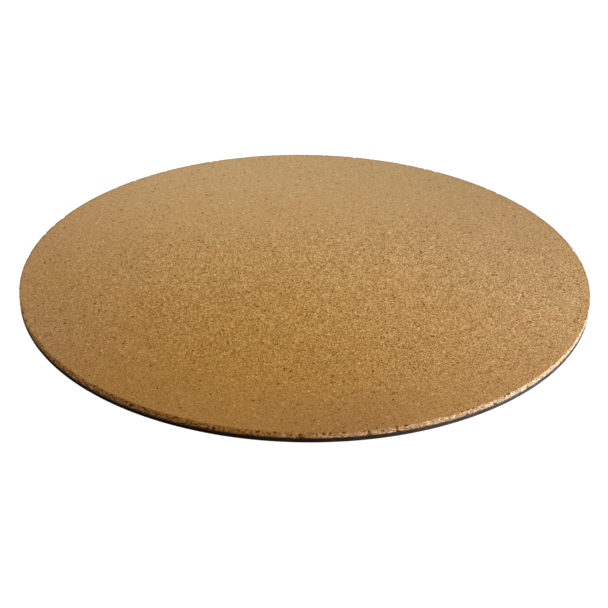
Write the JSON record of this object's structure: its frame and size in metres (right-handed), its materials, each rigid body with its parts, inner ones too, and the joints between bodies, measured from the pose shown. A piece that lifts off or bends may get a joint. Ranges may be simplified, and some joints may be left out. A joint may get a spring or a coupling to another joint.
{
  "type": "round cork bulletin board",
  "caption": "Thin round frameless pin board: an agglomerated cork face bonded to a black foam backing, with a cut rim.",
  "frame": {"origin": "centre of the back face, which lies on a table or against a wall", "axes": "+Z out of the cork pin face along the disc's axis; X and Y lie in the back face, and every direction in it is alike"},
  "size_m": [0.3, 0.3, 0.005],
  "materials": {
    "agglomerated_cork": "fine granulated cork, matt sanded face and rough cut edge",
    "bonding_adhesive": "cured contact adhesive, dull",
    "black_foam": "closed-cell foam, satin skin and smooth cut edge"
  },
  "bodies": {
    "root": {"cork_face": "agglomerated_cork", "adhesive_film": "bonding_adhesive", "foam_backing": "black_foam"}
  },
  "joints": []
}
